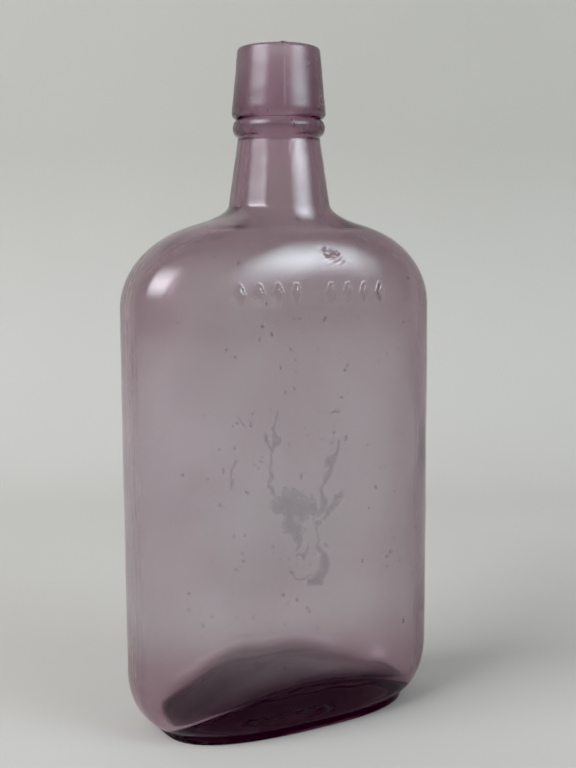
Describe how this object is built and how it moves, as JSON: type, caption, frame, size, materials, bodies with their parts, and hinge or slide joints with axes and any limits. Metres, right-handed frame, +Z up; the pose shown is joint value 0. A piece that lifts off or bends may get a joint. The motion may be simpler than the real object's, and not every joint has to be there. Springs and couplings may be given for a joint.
{
  "type": "pint flask bottle",
  "caption": "Oval glass flask with round shoulders, a tapered neck, a bead ring and a tapered cork collar; holds about a pint and stands on a narrower oval foot.",
  "frame": {"origin": "centre of the oval standing ring, on the surface that the flask stands on", "axes": "+Z up the neck, +X along the wide side, +Y through the flat side towards the back, so the marked front faces -Y"},
  "size_m": [0.1016, 0.0487, 0.208],
  "materials": {
    "amethyst_glass": "old moulded glass, clear pale amethyst from sunlight, glossy with faint ripple and haze",
    "dried_residue": "thin dry film of old residue on the inside of the glass"
  },
  "bodies": {
    "root": {"foot": "amethyst_glass", "heel": "amethyst_glass", "body": "amethyst_glass", "shoulder": "amethyst_glass", "neck": "amethyst_glass", "ring": "amethyst_glass", "collar": "amethyst_glass"}
  },
  "joints": []
}
